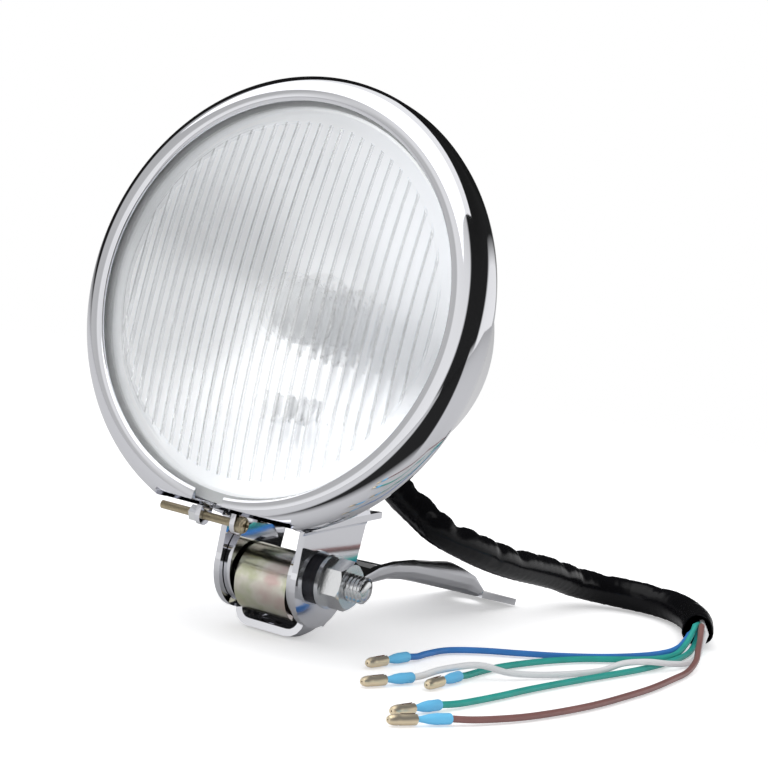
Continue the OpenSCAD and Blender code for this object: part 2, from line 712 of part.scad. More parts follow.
clamp_ring();
clamp_screw();
clamp_nut();
lens();
lens_seal();
reflector();
bulb();
bulb_holder();
pilot_bulb();
pilot_holder();
housing();
cable_grommet();
head_bracket();
mount_strap();
spacer_tube();
pivot_bolt();
flat_washers();
spring_washer();
pivot_nut();
cable_sleeve();
lead_blue();
lead_green_a();
lead_white();
lead_green_b();
lead_brown();
shrink_blue();
shrink_green_a();
shrink_white();
shrink_green_b();
shrink_brown();
bullet_blue();
bullet_green_a();
bullet_white();
bullet_green_b();
bullet_brown();
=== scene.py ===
import json
import math

import bpy
from mathutils import Matrix, Quaternion, Vector
from mathutils.kdtree import KDTree

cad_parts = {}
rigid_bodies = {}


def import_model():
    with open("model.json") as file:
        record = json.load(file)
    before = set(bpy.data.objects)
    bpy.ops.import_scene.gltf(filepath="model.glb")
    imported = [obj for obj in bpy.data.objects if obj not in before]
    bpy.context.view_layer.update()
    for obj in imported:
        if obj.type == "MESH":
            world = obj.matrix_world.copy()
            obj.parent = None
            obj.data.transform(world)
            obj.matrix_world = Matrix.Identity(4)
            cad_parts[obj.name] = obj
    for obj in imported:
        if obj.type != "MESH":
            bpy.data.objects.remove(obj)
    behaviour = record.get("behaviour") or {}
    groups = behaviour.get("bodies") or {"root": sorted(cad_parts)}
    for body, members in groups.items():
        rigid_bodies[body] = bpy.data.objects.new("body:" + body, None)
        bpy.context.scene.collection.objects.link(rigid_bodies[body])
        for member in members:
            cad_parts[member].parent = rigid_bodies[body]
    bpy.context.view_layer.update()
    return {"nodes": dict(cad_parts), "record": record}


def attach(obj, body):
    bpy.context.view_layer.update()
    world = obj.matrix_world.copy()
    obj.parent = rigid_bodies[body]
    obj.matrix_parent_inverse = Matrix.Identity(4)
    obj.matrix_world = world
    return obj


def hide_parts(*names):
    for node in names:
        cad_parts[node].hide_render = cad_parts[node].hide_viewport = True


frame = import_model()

print("frame loaded,", len(frame["nodes"]), "nodes")

# Camera, at the photograph's viewing angle
camera = {
    "place": (0.48752, -0.81271, 0.18953),
    "aim": (0.0, -0.00411, 0.0917),
    "roll": 9.06,  # degrees
    "lens": 117.19,
    "sensor": 36.0,
}


def setCamera(spec):
    bpy.ops.object.camera_add(location=spec["place"])
    cam = bpy.context.object
    cam.name = "viewCamera"
    cam.data.lens = spec["lens"]
    cam.data.sensor_width = spec["sensor"]
    cam.data.clip_start = 0.05
    cam.rotation_mode = "QUATERNION"
    look = (Vector(spec["aim"]) - Vector(spec["place"])).to_track_quat("-Z", "Y")
    turn = Quaternion((0, 0, 1), math.radians(spec["roll"]))
    cam.rotation_quaternion = look @ turn
    bpy.context.scene.camera = cam


setCamera(camera)
bpy.context.scene.view_settings.view_transform = "Standard"
print("camera set")


# Shader maths as expressions
class Val:
    def __init__(self, tree, socket):
        self.tree, self.socket = tree, socket

    def _math(self, kind, a, b):
        node = self.tree.nodes.new("ShaderNodeMath")
        node.operation = kind
        for slot, value in zip(node.inputs, (a, b)):
            if isinstance(value, Val):
                self.tree.links.new(value.socket, slot)
            else:
                slot.default_value = value
        return Val(self.tree, node.outputs[0])

    def __add__(self, other):
        return self._math("ADD", self, other)

    def __radd__(self, other):
        return self._math("ADD", other, self)

    def __sub__(self, other):
        return self._math("SUBTRACT", self, other)

    def __rsub__(self, other):
        return self._math("SUBTRACT", other, self)

    def __mul__(self, other):
        return self._math("MULTIPLY", self, other)

    def __rmul__(self, other):
        return self._math("MULTIPLY", other, self)

    def __truediv__(self, other):
        return self._math("DIVIDE", self, other)

    def __pow__(self, other):
        return self._math("POWER", self, other)

class Finish:
    # one material, its nodes made by add()
    def __init__(self, name):
        self.material = bpy.data.materials.new(name)
        self.material.use_nodes = True
        self.tree = self.material.node_tree
        self.tree.nodes.clear()
        self.out = self.tree.nodes.new("ShaderNodeOutputMaterial")

    def add(self, kind, settings=None, **values):
        node = self.tree.nodes.new("ShaderNode" + kind)
        for key, value in (settings or {}).items():
            if key == "stops":
                for i, (place, colour) in enumerate(value):
                    stop = node.color_ramp.elements[i] if i < 2 else node.color_ramp.elements.new(place)
                    stop.position, stop.color = place, colour
            else:
                setattr(node, key, value)
        for key, value in values.items():
            numbered = key[0] == "i" and key[1:].isdigit()
            socket = node.inputs[int(key[1:]) if numbered else key.replace("_", " ")]
            if isinstance(value, Val):
                self.tree.links.new(value.socket, socket)
            elif hasattr(value, "is_output"):
                self.tree.links.new(value, socket)
            else:
                socket.default_value = value
        return node

    def place(self, scale=(1, 1, 1)):
        coords = self.tree.nodes.new("ShaderNodeTexCoord")
        return self.add("Mapping", Vector=coords.outputs["Object"], Scale=scale).outputs[0]

    def noise(self, size, detail, scale=(1, 1, 1)):
        node = self.add("TexNoise", Vector=self.place(scale), Scale=size, Detail=detail)
        return Val(self.tree, node.outputs["Fac"])

    def ramp(self, value, *stops):
        node = self.add("ValToRGB", {"stops": [(p, (*c, 1)) for p, c in stops]}, Fac=value)
        return node.outputs["Color"]

    def clamp(self, value):
        return Val(self.tree, self.add("Clamp", Value=value).outputs[0])

    def size(self, value):
        return Val(self.tree, self.add("Math", {"operation": "ABSOLUTE"}, i0=value).outputs[0])

    def bump(self, height, strength, distance):
        return self.add("Bump", Height=height, Strength=strength, Distance=distance).outputs[0]

    def shade(self, **values):
        node = self.add("BsdfPrincipled", **values)
        self.tree.links.new(node.outputs[0], self.out.inputs["Surface"])
        return node


def plated(name, colour, rough, wander, fine=0.0, glow=0.0):
    # bright plated metal, its gloss slightly uneven; a given glow makes it shine as painted light, though it
    # is no lamp
    finish = Finish(name)
    cloud = finish.noise(38, 3)
    values = dict(Base_Color=(*colour, 1), Metallic=1.0, Roughness=cloud * wander + (rough - wander / 2))
    if fine:
        values["Normal"] = finish.bump(finish.noise(900, 2), fine, 0.0002)
    # painted light: the metal glows by this much, though it is no lamp
    if glow:
        values.update(Emission_Color=(1, 1, 1, 1), Emission_Strength=glow)
    finish.shade(**values)
    return finish.material


def rainbowZinc(name, rough):
    # yellow chromate, with faint green and pink where the film is thicker
    finish = Finish(name)
    film = finish.noise(70, 3, scale=(1, 0.5, 1))
    tint = finish.ramp(film, (0.3, (0.8, 0.72, 0.54)), (0.45, (0.68, 0.7, 0.5)), (0.55, (0.85, 0.82, 0.72)),
                       (0.68, (0.78, 0.6, 0.56)))
    finish.shade(Base_Color=tint, Metallic=1.0, Roughness=finish.noise(45, 2) * 0.12 + rough,
                 Normal=finish.bump(finish.noise(500, 2, scale=(0.2, 1, 1)), 0.12, 0.0002))
    return finish.material


def threadedZinc(name, colour, rough, pitch):
    # plated screw, its fine thread drawn as a bump along X
    finish = Finish(name)
    spot = finish.add("SeparateXYZ", Vector=finish.place())
    wave = Val(finish.tree, spot.outputs[0]) * (2 * math.pi / pitch)
    ridge = Val(finish.tree, finish.add("Math", {"operation": "SINE"}, i0=wave).outputs[0])
    finish.shade(Base_Color=(*colour, 1), Metallic=1.0, Roughness=finish.noise(40, 2) * 0.1 + rough,
                 Normal=finish.bump(ridge, 0.7, 0.0002))
    return finish.material


def softPlastic(name, colour, rough, spread):
    # even plastic or rubber, its colour wandering by the spread
    finish = Finish(name)
    cloud = finish.noise(60, 2)
    low = [c * (1 - spread) for c in colour]
    high = [min(1, c * (1 + spread)) for c in colour]
    finish.shade(Base_Color=finish.ramp(cloud, (0.3, low), (0.7, high)), Roughness=cloud * 0.12 + rough,
                 Normal=finish.bump(finish.noise(700, 2), 0.08, 0.0002))
    return finish.material


def creasedPlastic(name, colour, rough):
    # thin glossy sleeve with fine wrinkles
    finish = Finish(name)
    wrinkle = finish.noise(240, 3, scale=(1, 0.35, 1))
    finish.shade(Base_Color=(*colour, 1), Roughness=finish.noise(90, 2) * 0.14 + rough,
                 Specular_IOR_Level=0.2, Normal=finish.bump(wrinkle, 0.2, 0.0006))
    return finish.material


def clearGlass(name, colour, rough, alpha):
    # part of the glass is let through plainly, which keeps the flutes pale
    finish = Finish(name)
    cloud = finish.noise(30, 2)
    finish.shade(Base_Color=(*colour, 1), Roughness=cloud * 0.02 + rough, Transmission_Weight=1.0,
                 IOR=1.5, Alpha=alpha)
    return finish.material


def pearlGlass(name, colour):
    # frosted bulb, pale inside
    finish = Finish(name)
    tint = finish.ramp(finish.noise(80, 2), (0.3, [c * 0.96 for c in colour]), (0.7, colour))
    finish.shade(Base_Color=tint, Roughness=0.25, Coat_Weight=0.6)
    return finish.material


finishes = {
    "chromed_steel": plated("mirrorChrome", (0.83, 0.835, 0.87), 0.05, 0.03),
    "gilt_zinc": threadedZinc("giltZinc", (0.66, 0.56, 0.38), 0.24, 0.0007),
    "white_zinc": plated("whiteZinc", (0.86, 0.87, 0.88), 0.2, 0.1, 0.12),
    "clear_glass": clearGlass("pressedGlass", (0.99, 1.0, 1.0), 0.01, 0.6),
    "black_rubber": softPlastic("blackRubber", (0.025, 0.025, 0.025), 0.55, 0.2),
    # the reflector's glow is painted light that brightens the glass in front of it
    "mirror_coating": plated("mirrorCoat", (0.95, 0.96, 0.98), 0.3, 0.06, glow=0.14),
    "dull_steel": plated("dullSteel", (0.6, 0.6, 0.6), 0.35, 0.1),
    "yellow_zinc": rainbowZinc("yellowZinc", 0.14),
    "blackened_steel": plated("blackenedSteel", (0.08, 0.08, 0.09), 0.4, 0.1, 0.2),
    "black_sleeve": creasedPlastic("sleevePlastic", (0.004, 0.004, 0.005), 0.16),
    "blue_lead": softPlastic("blueLead", (0.04, 0.22, 0.62), 0.3, 0.1),
    "green_lead": softPlastic("greenLead", (0.03, 0.42, 0.36), 0.3, 0.1),
    "white_lead": softPlastic("whiteLead", (0.85, 0.86, 0.88), 0.3, 0.02),
    "brown_lead": softPlastic("brownLead", (0.27, 0.13, 0.12), 0.3, 0.1),
    "blue_shrink": softPlastic("blueShrink", (0.16, 0.6, 1.0), 0.35, 0.08),
    # the bullets' glow is painted light that brightens the brass
    "brass": plated("bulletBrass", (1.0, 0.83, 0.55), 0.42, 0.1, 0.1, glow=0.08),
}
paleSeal = softPlastic("paleSeal", (0.62, 0.63, 0.64), 0.5, 0.05)
pearlBulb = pearlGlass("pearlBulb", (0.85, 0.86, 0.88))
# copper inside the bullets, made dark brown as painted shade of the hollow
copperPaintedShade = plated("copperWithPaintedShade", (0.2, 0.07, 0.03), 0.4, 0.12, 0.1)
ownFinish = {"lens_seal": paleSeal, "pilot_holder": paleSeal, "bulb": pearlBulb, "pilot_bulb": pearlBulb}


def dress(parts):
    for part in parts:
        mesh = bpy.data.objects[part["node"]].data
        mesh.materials.clear()
        mesh.materials.append(ownFinish.get(part["node"], finishes[part["material_slot"]]))


dress(frame["record"]["subparts"])
print("finishes set")


# Cords: the sleeve and the five leads, along the same points as their solids, in millimetres
sleeve = {
    "diameter": 13.0,
    "wall": 0.5,
    "sides": 10,  # bevel steps round the tube
    "route": [
        (0, -3.2, 72), (0, 1.4, 65.5), (0.5, 7, 57.5), (4, 12.5, 50.5), (11, 17.5, 44), (18.5, 22, 38.2),
        (23.5, 38, 31.8), (25.5, 56, 26.5), (26, 76, 22), (26, 98, 18), (26, 116, 14.5), (26, 130, 11),
        (30, 144.5, 8.2), (40.5, 154.5, 6.8), (54, 157.5, 6.6), (68, 152, 6.6), (83, 135, 6.6),
        (93, 115, 6.6)],
    "creases": [  # place along the sleeve, angle round it, depth and width
        (24, 40, 0.9, 2.2), (33, 100, 1.1, 2.6), (43, 70, 0.9, 2.2), (57, 75, 2.0, 4.2), (72, 110, 0.9, 2.6),
        (84, 50, 0.8, 2.5), (104, 85, 1.5, 4.2), (124, 110, 0.6, 2.6), (146, 85, 1.2, 4.0),
        (163, 60, 0.7, 2.6), (182, 120, 0.7, 3.0), (205, 80, 0.7, 3.2), (231, 60, 0.6, 3.0)],
    "creaseLean": 2.2,  # how far a crease runs along as it goes round
    "ripple": 0.12,
    "mouthCut": 5.0,  # how far the open end is notched
    "mouthLength": 0.012,  # metres over which the notch fades
    "smoothBelow": 60,  # degrees, as in the dictionaries below
}
leads = {
    "diameter": 2.4,
    "inside": 9.0,  # how far back from its mouth the leads start in the sleeve
    "slots": {"blue": "blue_lead", "green_a": "green_lead", "white": "white_lead", "green_b": "green_lead",
              "brown": "brown_lead"},
    "blue": [
        (90.4, 113.1, 5), (91.5, 108, 3.6), (93, 99, 1.8), (94, 86, 1.3), (92, 68, 1.3), (86, 48, 1.3),
        (77, 29, 1.3), (67, 14, 1.3), (57, 0, 1.3), (51, -14, 1.3), (50.6, -28, 1.3), (51.8, -37, 1.5),
        (51.5, -44, 2)],
    "green_a": [
        (91.9, 113.9, 8.8), (93.6, 109, 7.6), (96, 98, 3.6), (98, 84, 1.3), (97, 66, 1.3), (91, 50, 1.3),
        (84, 34, 1.3), (79, 16, 1.3), (76, -4, 1.3), (75, -20, 1.3), (75.5, -34, 1.3), (76.6, -44, 1.5),
        (77, -50, 2)],
    "white": [
        (96.3, 116, 6.2), (97.8, 111, 4.6), (101, 102, 2.6), (105.5, 88, 1.3), (107.5, 74, 1.3),
        (107, 60, 2.6), (104.4, 46, 4.1), (101, 32, 4.1), (97.4, 18, 1.6), (91, -6, 1.3), (84.6, -26, 2.4),
        (79, -40, 5.4), (74, -56, 4.4), (71, -66, 2.3), (70, -71, 2)],
    "green_b": [
        (93.4, 114.6, 4.2), (95, 110, 3.2), (98.4, 98, 1.3), (102, 80, 1.3), (103.4, 60, 1.3),
        (103.4, 40, 1.3), (102, 20, 1.3), (100.6, 0, 1.3), (99.4, -20, 1.3), (98.6, -40, 1.3),
        (98.4, -60, 1.3), (97.6, -84, 1.5), (96, -96, 2)],
    "brown": [
        (94.3, 115.1, 9.2), (96.4, 110, 8.6), (101, 100, 6.6), (106, 88, 5), (111, 76, 3), (115, 60, 1.3),
        (118, 40, 1.3), (120.8, 16, 1.3), (122, -8, 1.3), (122.4, -32, 1.3), (121, -56, 1.3),
        (118, -78, 1.3), (112.6, -98, 1.5), (108, -109, 2)],
}


def metres(points):
    return [Vector(p) / 1000 for p in points]


def smoothed(points, steps):
    # points on a smooth curve through the route
    out = []
    last = len(points) - 1
    for i in range(last):
        a, b, c, d = points[max(i - 1, 0)], points[i], points[i + 1], points[min(i + 2, last)]
        for k in range(steps):
            t = k / steps
            out.append(0.5 * ((2 * b) + (c - a) * t + (2 * a - 5 * b + 4 * c - d) * t ** 2
                              + (3 * b - a - 3 * c + d) * t ** 3))
    out.append(points[-1])
    return out


def pathLength(points):
    return sum((b - a).length for a, b in zip(points, points[1:]))


def makeCord(name, points, radius, material, sides=4):
    bpy.ops.object.select_all(action="DESELECT")
    curve = bpy.data.curves.new(name, "CURVE")
    curve.dimensions = "3D"
    spline = curve.splines.new("POLY")
    spline.points.add(len(points) - 1)
    for spot, p in zip(spline.points, points):
        spot.co = (*p, 1)
    curve.bevel_depth = radius
    curve.bevel_resolution = sides
    curve.use_fill_caps = True
    piece = bpy.data.objects.new(name, curve)
    bpy.context.collection.objects.link(piece)
    curve.materials.append(material)
    return piece


def standsFor(piece, node, body):
    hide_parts(node)
    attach(piece, body)


def makeLeads(spec):
    for tint, slot in spec["slots"].items():
        points = smoothed(metres(spec[tint]), 6)
        back = (points[0] - points[1]).normalized() * spec["inside"] / 1000
        start = metres([sleeve["route"][-1]])[0] + back
        points = [start.lerp(points[0], k / 4) for k in range(4)] + points
        piece = makeCord("leadWire_" + tint, points, spec["diameter"] / 2000, finishes[slot])
        standsFor(piece, "lead_" + tint, "head")
        ends = [makeShrink(shrinkSleeve, tint, spec[tint]), makeBullet(bulletPlug, tint, spec[tint])]
        pathLength(points)


# Turned shape, drawn out of a circle along Z by (height, radius) in millimetres
def turned(name, stations, sides, *materials):
    bpy.ops.object.select_all(action="DESELECT")
    height, radius = stations[0]
    bpy.ops.mesh.primitive_circle_add(vertices=sides, radius=radius / 1000, location=(0, 0, 0))
    piece = bpy.context.object
    piece.name = name
    bpy.ops.object.mode_set(mode="EDIT")
    bpy.ops.mesh.select_all(action="SELECT")
    bpy.ops.transform.translate(value=(0, 0, height / 1000))
    for nextHeight, nextRadius in stations[1:]:
        rise, widen = (nextHeight - height) / 1000, nextRadius / radius
        bpy.ops.mesh.extrude_region_move(TRANSFORM_OT_translate={"value": (0, 0, rise)})
        bpy.ops.transform.resize(value=(widen, widen, 1), center_override=(0, 0, 0))
        height, radius = nextHeight, nextRadius
    bpy.ops.mesh.select_all(action="SELECT")
    bpy.ops.mesh.normals_make_consistent(inside=False)
    bpy.ops.object.mode_set(mode="OBJECT")
    for material in materials:
        piece.data.materials.append(material)
    return piece


def cutFaces(piece, test):
    # deletes the faces whose centre passes the test
    bpy.ops.object.mode_set(mode="EDIT")
    bpy.ops.mesh.select_mode(type="FACE")
    bpy.ops.mesh.select_all(action="DESELECT")
    bpy.ops.object.mode_set(mode="OBJECT")
    for face in piece.data.polygons:
        face.select = test(face.center)
    bpy.ops.object.mode_set(mode="EDIT")
    bpy.ops.mesh.delete(type="FACE")
    bpy.ops.mesh.select_mode(type="VERT")
    bpy.ops.object.mode_set(mode="OBJECT")


def applyAll(piece):
    bpy.ops.object.select_all(action="DESELECT")
    piece.select_set(True)
    bpy.context.view_layer.objects.active = piece
    for modifier in list(piece.modifiers):
        bpy.ops.object.modifier_apply(modifier=modifier.name)


def smoothBy(piece, degrees):
    bpy.ops.object.select_all(action="DESELECT")
    piece.select_set(True)
    bpy.context.view_layer.objects.active = piece
    bpy.ops.object.shade_smooth_by_angle(angle=math.radians(degrees))


def atLeadEnd(piece, route):
    # local Z along the lead's end, local X upwards
    end, before = Vector(route[-1]) / 1000, Vector(route[-2]) / 1000
    way = Vector((end.x - before.x, end.y - before.y, 0)).normalized()
    up = Vector((0, 0, 1))
    turn = Matrix((up, way.cross(up), way)).transposed().to_4x4()
    piece.data.transform(Matrix.Translation(end) @ turn)


shrinkSleeve = {
    "profile": [(-0.1, 1.25), (-0.1, 1.8), (0.3, 1.92), (4.2, 1.9), (5.0, 1.96), (6.0, 1.9), (8.4, 1.68),
                (10.4, 1.3), (12.0, 1.02), (15.4, 0.92), (15.4, 0.6)],
    "sides": 28,
    "smoothBelow": 40,
}
bulletPlug = {
    "profile": [(14.1, 1.99), (15.0, 1.97), (20.4, 1.95), (20.9, 1.84), (21.5, 1.93), (23.0, 1.84),
                (24.2, 1.56), (24.9, 1.15), (25.1, 0.25)],
    "sides": 28,
    "wall": 0.3,
    "seamHalf": 0.3,  # half the width of the rolled seam
    "seamEnd": 20.0,  # where the seam closes
    "smoothBelow": 40,
}


def makeShrink(spec, tint, route):
    piece = turned("shrinkSleeve_" + tint, spec["profile"], spec["sides"], finishes["blue_shrink"])
    smoothBy(piece, spec["smoothBelow"])
    atLeadEnd(piece, route)
    standsFor(piece, "shrink_" + tint, "head")
    return piece


def makeBullet(spec, tint, route):
    piece = turned("bulletPlug_" + tint, spec["profile"], spec["sides"], finishes["brass"], copperPaintedShade)
    half, end = spec["seamHalf"] / 1000, spec["seamEnd"] / 1000
    cutFaces(piece, lambda c: c.x > 0 and abs(c.y) < half and c.z < end)
    wall = piece.modifiers.new("wall", "SOLIDIFY")
    wall.thickness = spec["wall"] / 1000
    wall.offset = -1
    # the inner wall and rim take the copper, darkened as painted shade
    wall.material_offset = 1
    wall.material_offset_rim = 1
    applyAll(piece)
    smoothBy(piece, spec["smoothBelow"])
    atLeadEnd(piece, route)
    standsFor(piece, "bullet_" + tint, "head")
    return piece


def crease(spec, points, piece):
    # presses the creases into the tube and notches its open end
    marks = [0.0]
    for a, b in zip(points, points[1:]):
        marks.append(marks[-1] + (b - a).length)
    tree = KDTree(len(points))
    for i, p in enumerate(points):
        tree.insert(p, i)
    tree.balance()
    last = len(points) - 1
    for vertex in piece.data.vertices:
        near, i, gap = tree.find(vertex.co)
        way = (points[min(i + 1, last)] - points[max(i - 1, 0)]).normalized()
        side = way.cross(Vector((0, 0, 1))).normalized()
        up = side.cross(way)
        arm = vertex.co - near
        along = marks[i] + arm.dot(way)
        angle = math.atan2(arm.dot(up), arm.dot(side))
        push = 0.0
        for place, at, depth, width in spec["creases"]:
            off = angle - math.radians(at)
            lean = (along * 1000 - place - spec["creaseLean"] * math.sin(off)) / width
            push += depth * math.exp(-lean * lean) * max(0.0, math.cos(off)) ** 1.5
        ripple = math.sin(along * 1700 + 3 * math.sin(angle * 2)) * math.sin(along * 410 + angle)
        push += spec["ripple"] * ripple
        flat = arm - way * arm.dot(way)
        if flat.length > 0:
            vertex.co = near + way * arm.dot(way) + flat * (1 - push / 1000 / flat.length)
        fade = 1 - (marks[-1] - along) / spec["mouthLength"]
        if fade > 0:
            vertex.co -= way * (spec["mouthCut"] / 1000) * fade * abs(math.sin(angle)) ** 1.5


def makeSleeve(spec):
    points = smoothed(metres(spec["route"]), 12)
    radius = spec["diameter"] / 2000 - 0.0001
    piece = makeCord("sleeveTube", points, radius, finishes["black_sleeve"], spec["sides"])
    piece.data.use_fill_caps = False
    bpy.context.view_layer.objects.active = piece
    piece.select_set(True)
    bpy.ops.object.convert(target="MESH")
    piece = bpy.context.object
    crease(spec, points, piece)
    wall = piece.modifiers.new("wall", "SOLIDIFY")
    wall.thickness = spec["wall"] / 1000
    wall.offset = -1
    applyAll(piece)
    smoothBy(piece, spec["smoothBelow"])
    standsFor(piece, "cable_sleeve", "head")
    pathLength(points)


makeSleeve(sleeve)
makeLeads(leads)
print("cords laid")

# Clamp ring: a fine turned skin, pressed flat and slit at the bottom, on the ears of the CAD ring
lampPose = {"lean": 10.6896, "move": (0, -81.734, 121.365)}  # from the lamp's own axes to where it stands
clampRing = {
    "sides": 360,
    "widest": 82.0,
    "lip": 71.3,
    "crown": 8.0,
    "sheet": 1.2,
    "skirt": 7.5,
    "hook": 78.7,
    "flat": 76.0,
    "slit": (-10.1, 2.9),
    "earCut": 76.1,
    "smoothBelow": 35,
}


def standing():
    # lathe axis Z turned to the lens axis, then leaned and moved
    lean = Matrix.Rotation(math.radians(-lampPose["lean"]), 4, "X")
    return Matrix.Translation(Vector(lampPose["move"]) / 1000) @ lean


def quarterRound(mid, radius, steps):
    # from the front of the crown to its widest place
    turns = [math.pi / 2 * k / steps for k in range(steps + 1)]
    return [(-radius * math.cos(a), mid + radius * math.sin(a)) for a in turns]


def makeRing(spec):
    mid, crown, sheet = spec["widest"] - spec["crown"], spec["crown"], spec["sheet"]
    outer = quarterRound(mid, crown, 24)
    inner = quarterRound(mid, crown - sheet, 16)[::-1]
    edge = [(-crown + 0.3, spec["lip"] + 0.05), (-crown, spec["lip"] + 0.35)]
    back = [(4.5, spec["widest"] - 0.1), (spec["skirt"] - 0.5, spec["widest"] - 0.75),
            (spec["skirt"], spec["widest"] - 1.3), (spec["skirt"], spec["hook"]),
            (spec["skirt"] - sheet, spec["hook"]), (spec["skirt"] - sheet, spec["widest"] - 2.0)]
    rim = [(-crown + sheet, spec["lip"] + 0.05)]
    loop = edge + outer + back + inner + rim + edge[:1]
    piece = turned("clampRingPolished", loop, spec["sides"], finishes["chromed_steel"])
    piece.data.transform(Matrix.Rotation(math.radians(-90), 4, "X"))
    flat, press = spec["flat"] / 1000, sheet / 1000
    for vertex in piece.data.vertices:
        spot = vertex.co
        if spot.z < 0:
            middle = (spec["widest"] - sheet / 2) / 1000
            radius = math.hypot(spot.x, spot.z)
            limit = flat if radius > middle - 0.0002 or spot.y > 0.0055 else flat - press
            spot.z = max(spot.z, -limit)
    low, high = (v / 1000 for v in spec["slit"])
    cutFaces(piece, lambda c: c.z < 0 and low < c.x < high)
    bpy.ops.object.mode_set(mode="EDIT")
    bpy.ops.mesh.select_all(action="SELECT")
    bpy.ops.mesh.remove_doubles(threshold=0.00001)
    bpy.ops.mesh.fill_holes(sides=0)
    bpy.ops.mesh.select_all(action="SELECT")
    bpy.ops.mesh.normals_make_consistent(inside=False)
    bpy.ops.object.mode_set(mode="OBJECT")
    pose = standing()
    piece.data.transform(pose)
    ears = copyOf("clamp_ring", "ringEars")
    bpy.ops.mesh.bisect(plane_co=pose @ Vector((0, 0, -spec["earCut"] / 1000)),
                        plane_no=pose.to_3x3() @ Vector((0, 0, 1)), clear_outer=True, use_fill=True)
    bpy.ops.object.mode_set(mode="OBJECT")
    ears.data.materials.clear()
    ears.data.materials.append(finishes["chromed_steel"])
    piece.select_set(True)
    bpy.context.view_layer.objects.active = piece
    bpy.ops.object.join()
    smoothBy(piece, spec["smoothBelow"])
    standsFor(piece, "clamp_ring", "head")


# Pivot bolt: its shank is kept up to the nut, and a real thread stands out of the nut
pivotBolt = {
    "centre": (-54.432, 23.4),  # Y and Z of the bolt's axis
    "cut": 30.4,
    "end": 37.0,
    "core": 4.15,
    "crest": 4.98,
    "pitch": 1.5,
    "turns": 5,
    "flanks": (0.0, 0.42, 0.55, 0.97),  # where a turn rises and falls, as shares of the pitch
    "sides": 48,
    "smoothBelow": 35,
}


def copyOf(node, name):
    piece = bpy.data.objects.new(name, bpy.data.objects[node].data.copy())
    bpy.context.collection.objects.link(piece)
    bpy.ops.object.select_all(action="DESELECT")
    piece.select_set(True)
    bpy.context.view_layer.objects.active = piece
    bpy.ops.object.mode_set(mode="EDIT")
    bpy.ops.mesh.select_all(action="SELECT")
    bpy.ops.mesh.remove_doubles(threshold=0.00001)
    return piece


def makeBolt(spec):
    body = copyOf("pivot_bolt", "pivotBoltThreaded")
    bpy.ops.mesh.bisect(plane_co=(spec["cut"] / 1000, 0, 0), plane_no=(1, 0, 0), clear_outer=True,
                        use_fill=True)
    bpy.ops.object.mode_set(mode="OBJECT")
    core, crest, cut, end = spec["core"], spec["crest"], spec["cut"], spec["end"]
    shank = turned("boltCore", [(cut - 0.2, core), (end - 0.8, core), (end, core - 0.7), (end, 0.02)],
                   spec["sides"], finishes["white_zinc"])
    toAxis = Matrix.Translation((0, spec["centre"][0] / 1000, spec["centre"][1] / 1000)) @ Matrix.Rotation(
        math.radians(90), 4, "Y")
    shank.data.transform(toAxis)
    pitch = spec["pitch"] / 1000
    profile = bpy.data.meshes.new("threadProfile")
    low, high = (core - 0.1) / 1000, crest / 1000
    flank = [(radius, 0, pitch * share) for radius, share in zip((low, high, high, low), spec["flanks"])]
    profile.from_pydata(flank, [(0, 1), (1, 2), (2, 3)], [])
    thread = bpy.data.objects.new("boltThread", profile)
    bpy.context.collection.objects.link(thread)
    turn = thread.modifiers.new("turn", "SCREW")
    turn.axis = "Z"
    turn.screw_offset = pitch
    turn.iterations = spec["turns"]
    turn.steps = turn.render_steps = 40
    turn.use_normal_calculate = True
    applyAll(thread)
    thread.data.transform(toAxis @ Matrix.Translation((0, 0, (cut - 1.6) / 1000)))
    thread.data.materials.append(finishes["white_zinc"])
    bpy.ops.object.mode_set(mode="EDIT")
    bpy.ops.mesh.select_all(action="SELECT")
    bpy.ops.mesh.bisect(plane_co=((end - 0.5) / 1000, 0, 0), plane_no=(1, 0, 0), clear_outer=True)
    bpy.ops.object.mode_set(mode="OBJECT")
    for piece in (body, shank, thread):
        piece.select_set(True)
    bpy.context.view_layer.objects.active = body
    bpy.ops.object.join()
    smoothBy(body, spec["smoothBelow"])
    standsFor(body, "pivot_bolt", "head")


makeRing(clampRing)
print("ring polished")
makeBolt(pivotBolt)
print("bolt threaded")

# Housing: the CAD shell's own surface, with its dome shaded smoothly
housingSkin = {"smoothBelow": 32}


def makeHousing(spec):
    piece = copyOf("housing", "housingPolished")
    bpy.ops.object.mode_set(mode="OBJECT")
    bpy.ops.mesh.customdata_custom_splitnormals_clear()
    smoothBy(piece, spec["smoothBelow"])
    standsFor(piece, "housing", "head")


makeHousing(housingSkin)
print("housing polished")

# Studio: a pale floor and soft light, with dark bands in what the chrome mirrors
studio = {
    "floorSize": 8.0,
    "floorColour": (0.84, 0.84, 0.85),
    "floorGlow": 0.42,  # what the eye adds to the paper
    "floorDim": 0.3,  # how much greyer the paper is in the chrome
    "floorNear": 0.4,
    "floorFar": 0.9,
    "worldLevel": 0.72,
    "darkSlab": {"azimuth": 55, "half": 0.5, "shade": 0.02},  # gap between the soft boxes, from -Y towards +X
    "darkArch": {"across": (-0.42, -0.69, 0.59), "half": 0.6},  # the same gap overhead
    "bands": [  # azimuth, half width, lowest and highest slope, shade
        (205, 20, -0.9, 0.9, 0.62),
        (-85, 50, -0.9, 0.9, 0.6),
    ],
    "ceiling": [(0.0, 0.92), (0.5, 0.8), (0.75, 0.62), (1.0, 0.62)],  # slope and shade
}
softTop = {"place": (-0.3, -0.4, 1.5), "aim": (0, 0, 0.05), "size": (2.4, 2.4), "power": 17}


def inSlab(finish, x, y, spec):
    # 1 inside the dark gap that the chrome mirrors, seen from the lamp
    a = math.radians(spec["azimuth"])
    ahead = x * math.sin(a) - y * math.cos(a)
    across = x * math.cos(a) + y * math.sin(a)
    wide = finish.clamp((spec["half"] - finish.size(across)) * 12 + 0.5)
    return wide * finish.clamp((ahead + 0.1) * 8)


